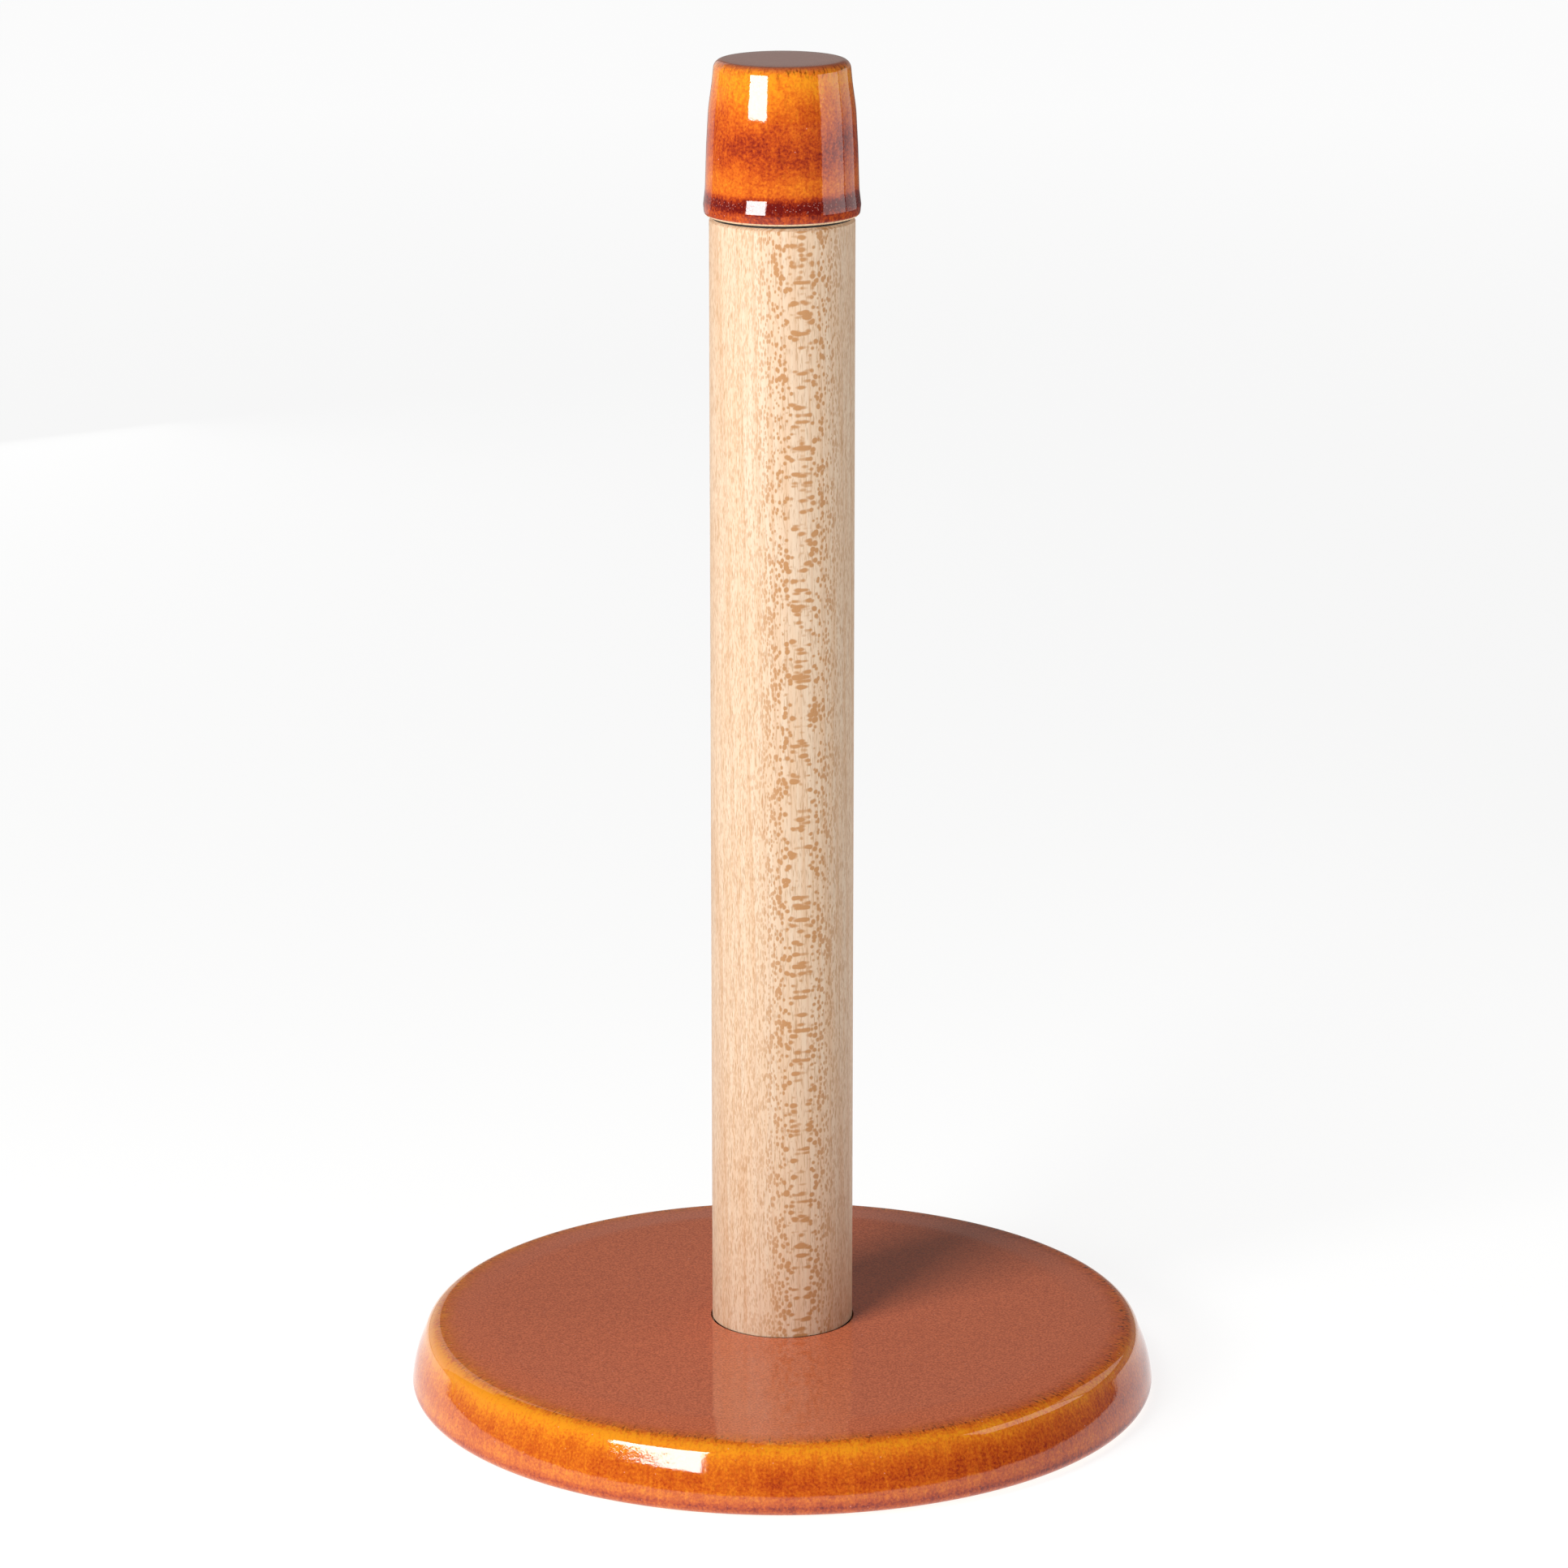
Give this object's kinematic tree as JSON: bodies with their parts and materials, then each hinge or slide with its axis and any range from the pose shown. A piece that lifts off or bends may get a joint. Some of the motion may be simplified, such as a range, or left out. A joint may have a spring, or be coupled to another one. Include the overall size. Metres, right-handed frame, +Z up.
{
  "type": "paper towel holder",
  "caption": "Upright countertop holder for a paper roll: a round glazed stoneware base, a straight beech post and a glazed stoneware cap, bolted together from below.",
  "frame": {"origin": "centre of the round footprint, on the table the foot pads rest on", "axes": "+Z up along the post; the object is round about Z apart from its four foot pads, so -Y is taken as the front"},
  "size_m": [0.1702, 0.1702, 0.305],
  "materials": {
    "stoneware": "glossy amber and rust reaction glaze, bare clay on the foot ring",
    "stoneware_cap": "glossy amber and rust reaction glaze, bare clay lip",
    "beech": "fine-sanded pale beech, thin matt oil",
    "silicone": "soft translucent silicone",
    "rubber": "matt black rubber",
    "tape": "thin acrylic adhesive disc",
    "zinc_steel": "bright zinc-plated steel",
    "brass": "machined brass"
  },
  "bodies": {
    "root": {"base_plate": "stoneware", "beech_post": "beech", "cap_bond": "silicone", "cap_gasket": "rubber", "cushion_washer": "rubber", "flat_washer": "zinc_steel", "foot_pad_1": "silicone", "foot_pad_2": "silicone", "foot_pad_3": "silicone", "foot_pad_4": "silicone", "foot_tape_1": "tape", "foot_tape_2": "tape", "foot_tape_3": "tape", "foot_tape_4": "tape", "lock_washer": "zinc_steel", "post_bolt": "zinc_steel", "post_insert": "brass", "seat_gasket": "rubber", "stoneware_cap": "stoneware_cap", "tenon_ring_lower": "rubber", "tenon_ring_upper": "rubber"}
  },
  "joints": []
}
